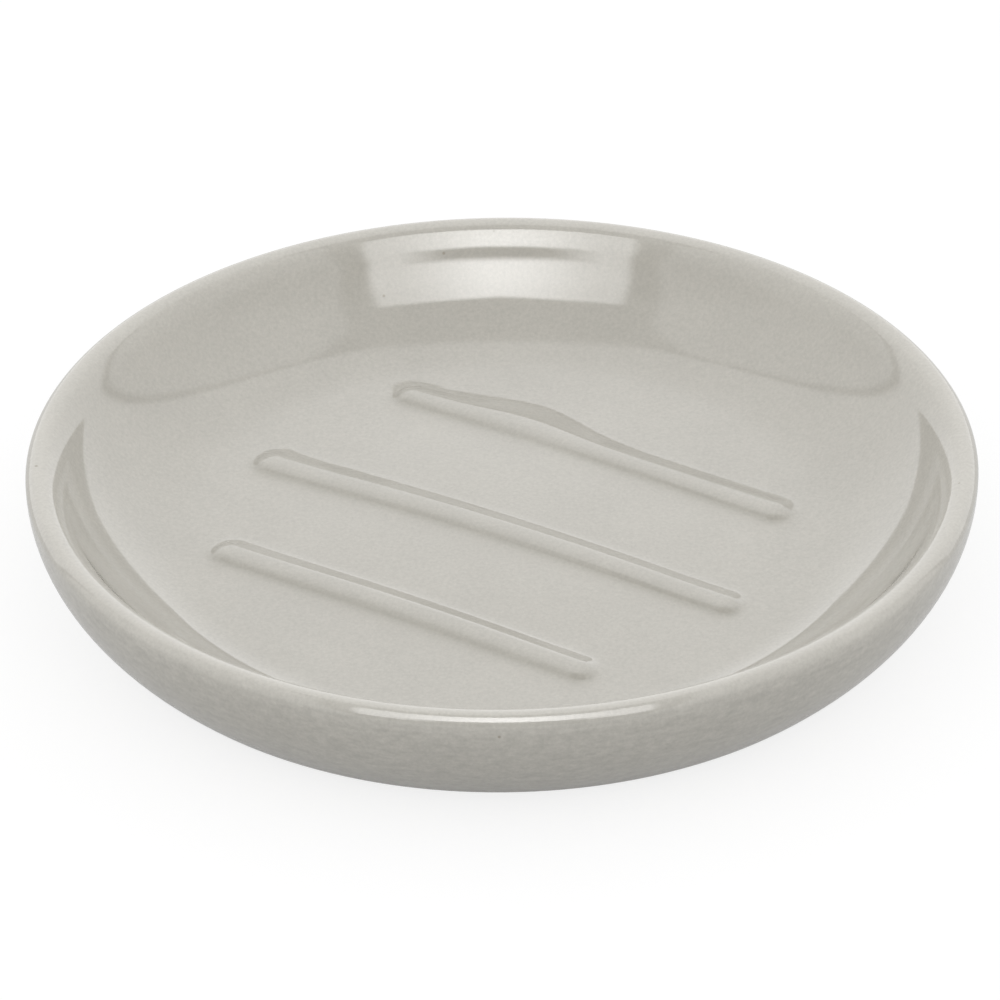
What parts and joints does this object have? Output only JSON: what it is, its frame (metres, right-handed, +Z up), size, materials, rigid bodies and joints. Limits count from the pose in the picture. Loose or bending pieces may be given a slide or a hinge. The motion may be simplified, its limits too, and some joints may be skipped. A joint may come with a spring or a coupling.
{
  "type": "soap dish",
  "caption": "Round glazed stoneware soap dish in warm light grey, a shallow bowl with raised diagonal ribs in its floor and stick-on grip pads under it.",
  "frame": {"origin": "on the dish's own axis, in the plane that the grip pads stand on", "axes": "+Z up out of the dish, -Y towards the front of the dish as the picture shows it, +X to its right"},
  "size_m": [0.115, 0.115, 0.0167],
  "materials": {
    "dish_body": "gloss",
    "grip_pads": "satin"
  },
  "bodies": {
    "root": {"dish_body": "dish_body", "grip_pad_1": "grip_pads", "grip_pad_2": "grip_pads", "grip_pad_3": "grip_pads", "grip_pad_4": "grip_pads"}
  },
  "joints": []
}
